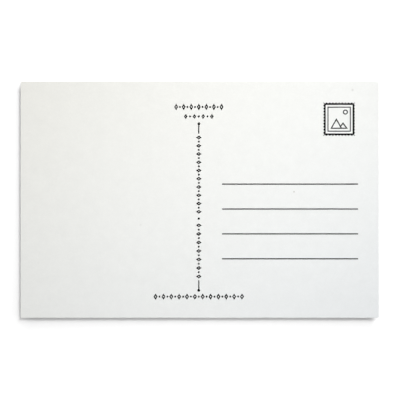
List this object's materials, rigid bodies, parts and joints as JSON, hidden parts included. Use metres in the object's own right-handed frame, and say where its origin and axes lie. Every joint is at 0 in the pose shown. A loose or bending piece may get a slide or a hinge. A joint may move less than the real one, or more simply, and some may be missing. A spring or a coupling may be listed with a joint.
{
  "type": "postcard",
  "caption": "Trimmed picture postcard of layered board, with a ruled address side, an ornamented divider, a stamp mark in the corner and a glossy picture on the back.",
  "frame": {"origin": "centre of the picture face, which the card rests on", "axes": "+X along the long edge, to the right as the writing side is read; +Y towards its top edge; +Z out of the writing side"},
  "size_m": [0.1492, 0.0984, 0.0004],
  "materials": {
    "film": "clear gloss coating",
    "picture": "printed picture, edge to edge",
    "board": "uncoated white board, matt",
    "board_core": "raw board, seen only on the cut edge",
    "ink": "black printing ink, matt with a slight sheen"
  },
  "bodies": {
    "root": {"gloss_film": "film", "picture_print": "picture", "picture_ply": "board", "core_ply": "board_core", "writing_ply": "board", "address_rule_1": "ink", "address_rule_2": "ink", "address_rule_3": "ink", "address_rule_4": "ink", "divider_stub_upper": "ink", "divider_stub_lower": "ink", "divider_bullet": "ink", "divider_chain_upper": "ink", "divider_chain_lower": "ink", "heading_row_upper": "ink", "heading_row_lower": "ink", "footer_row": "ink", "stamp_frame": "ink", "stamp_keyline": "ink", "stamp_view": "ink"}
  },
  "joints": []
}
